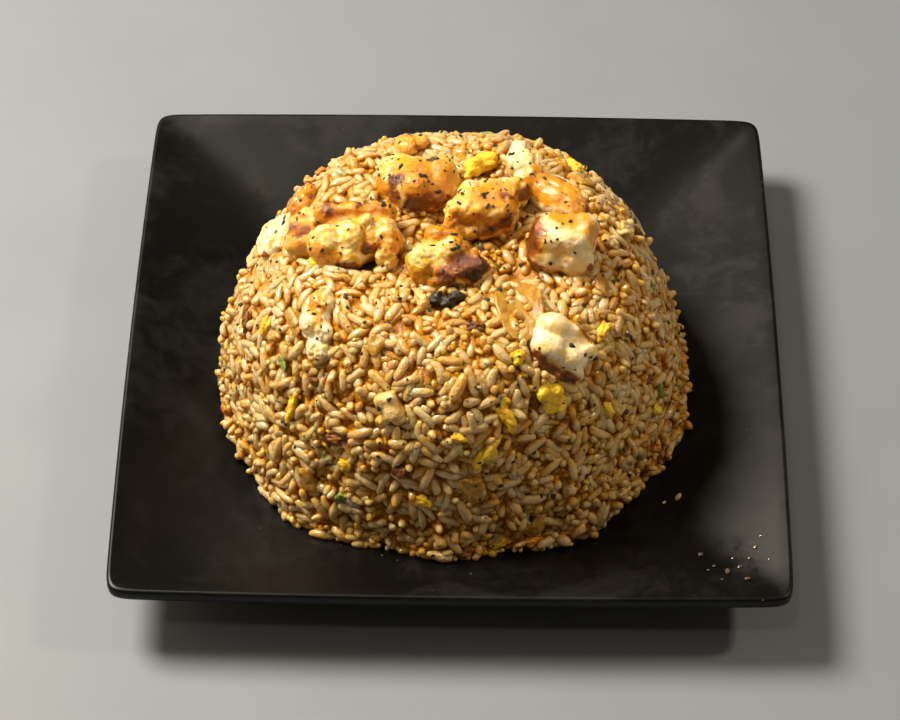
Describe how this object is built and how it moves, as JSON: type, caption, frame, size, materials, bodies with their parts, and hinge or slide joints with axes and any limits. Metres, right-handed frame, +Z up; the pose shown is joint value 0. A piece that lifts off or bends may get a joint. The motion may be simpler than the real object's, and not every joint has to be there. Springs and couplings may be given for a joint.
{
  "type": "fried rice",
  "caption": "Domed heap of fried rice with seared shrimp, chicken and egg, turned out on a shallow square black plate.",
  "frame": {"origin": "middle of the plate's foot, on the surface that the plate stands on", "axes": "+Z up, +X along the plate's near edge to the right, +Y away from the diner"},
  "size_m": [0.2184, 0.2184, 0.0963],
  "materials": {
    "black_glaze": "satin black glaze, greasy and lightly scratched",
    "rice": "moist cooked grains, golden brown from soy sauce",
    "seared_shrimp": "moist flesh with golden and dark brown sear",
    "pale_shrimp": "moist pale flesh, orange at the edges",
    "chicken": "soft cooked chicken, pale tan",
    "golden_bits": "fried golden to orange",
    "onion": "translucent fried onion",
    "egg": "scrambled egg, bright yellow",
    "burnt": "charred",
    "scallion": "small cooked green scraps",
    "pepper": "coarse ground black pepper"
  },
  "bodies": {
    "root": {"plate": "black_glaze", "rice": "rice", "shrimp_front": "seared_shrimp", "shrimp_middle": "seared_shrimp", "shrimp_cube": "seared_shrimp", "shrimp_left": "pale_shrimp", "shrimp_back_left": "seared_shrimp", "shrimp_back_right": "seared_shrimp", "shrimp_white": "pale_shrimp", "shrimp_tail": "golden_bits", "chicken_left_flat": "chicken", "chicken_left_golden": "golden_bits", "chicken_front_left": "chicken", "chicken_front_small": "chicken", "golden_bit_back": "golden_bits", "onion_petal": "onion", "egg_front_right": "egg", "egg_strip_upper": "egg", "egg_strip_lower": "egg", "egg_left": "egg", "egg_back": "egg", "burnt_bit": "burnt"}
  },
  "joints": []
}
